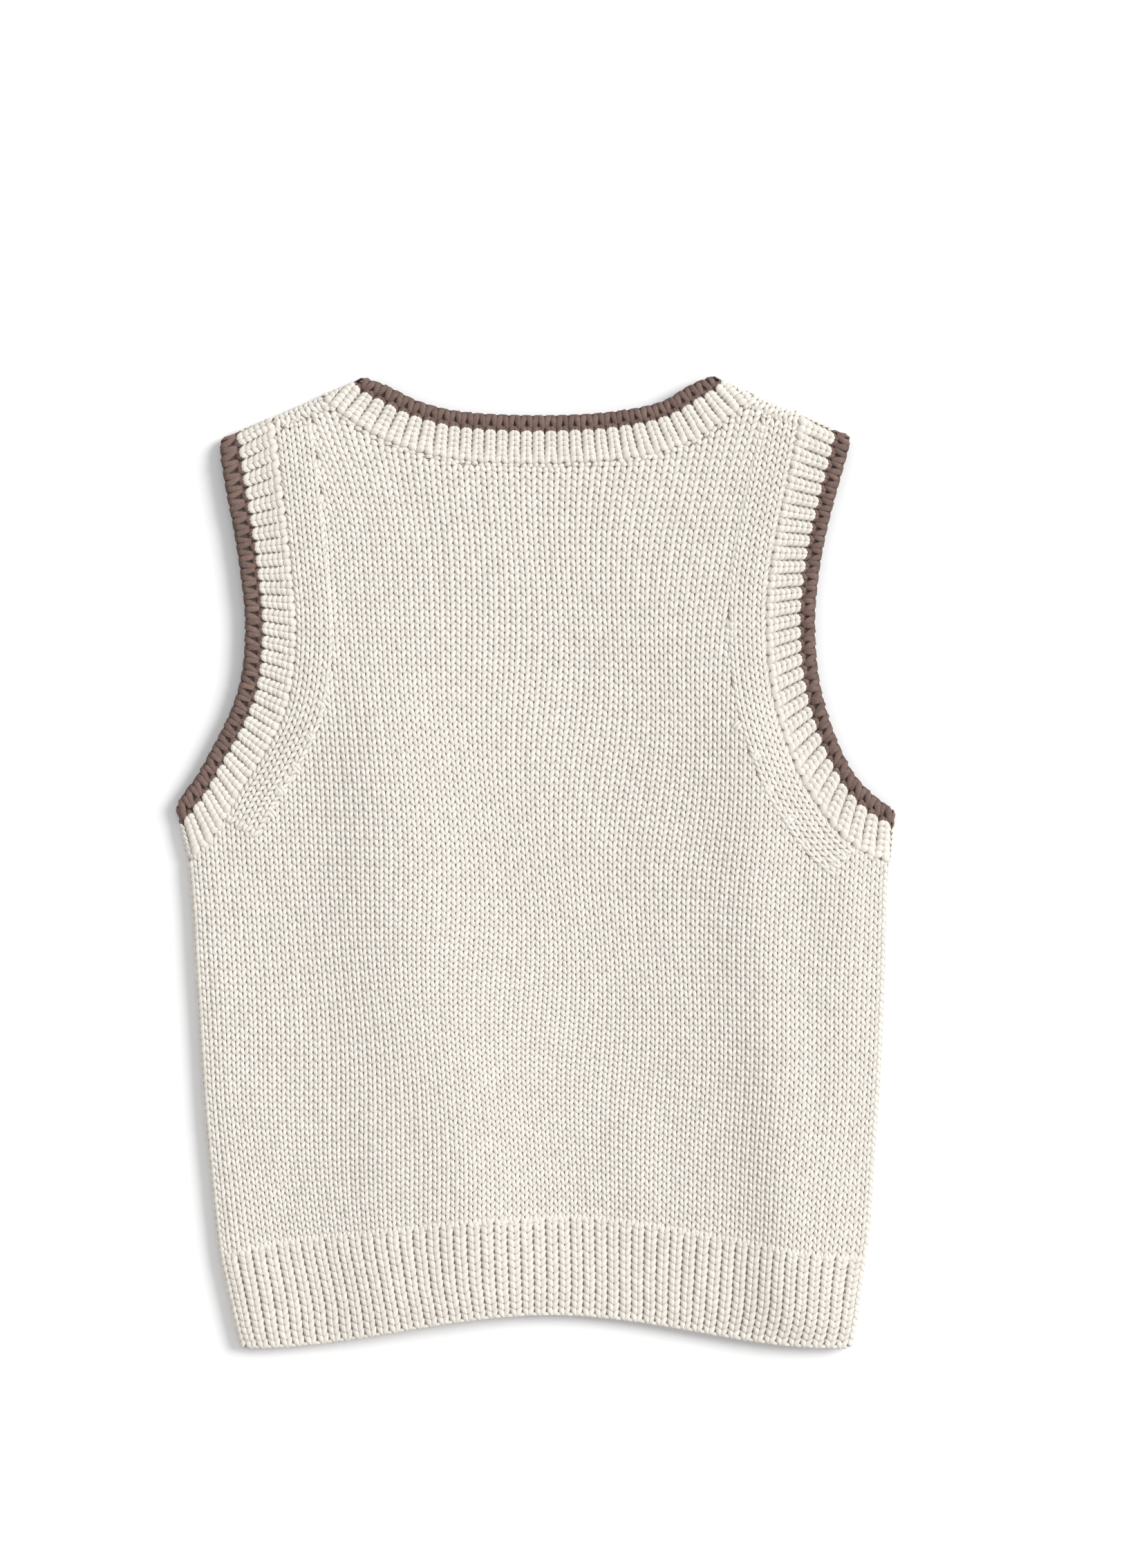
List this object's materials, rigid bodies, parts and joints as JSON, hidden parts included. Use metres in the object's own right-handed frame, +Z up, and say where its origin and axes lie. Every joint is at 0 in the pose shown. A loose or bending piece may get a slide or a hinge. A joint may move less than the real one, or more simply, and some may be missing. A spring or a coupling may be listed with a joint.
{
  "type": "sleeveless knitted pullover",
  "caption": "Child's sleeveless knitted pullover, laid flat with its back up: plain knit front and back, ribbed hem, and ribbed neck and armhole bands with brown tipped edges.",
  "frame": {"origin": "middle of the garment's outline seen from above, on the surface that it lies on", "axes": "+Y towards the neck, +X to the right of the back as it is seen from above, +Z up from the surface"},
  "size_m": [0.3339, 0.4493, 0.0147],
  "materials": {
    "cream_yarn": "matt wool-blend double-knitting yarn in a heathered cream, stocking stitch and 1x1 rib",
    "brown_yarn": "matt wool-blend double-knitting yarn in a heathered mid brown, knitted edge"
  },
  "bodies": {
    "root": {"back_panel": "cream_yarn", "front_panel": "cream_yarn", "neckband": "cream_yarn", "neck_tipping": "brown_yarn", "armband_left": "cream_yarn", "arm_tipping_left": "brown_yarn", "armband_right": "cream_yarn", "arm_tipping_right": "brown_yarn"}
  },
  "joints": []
}
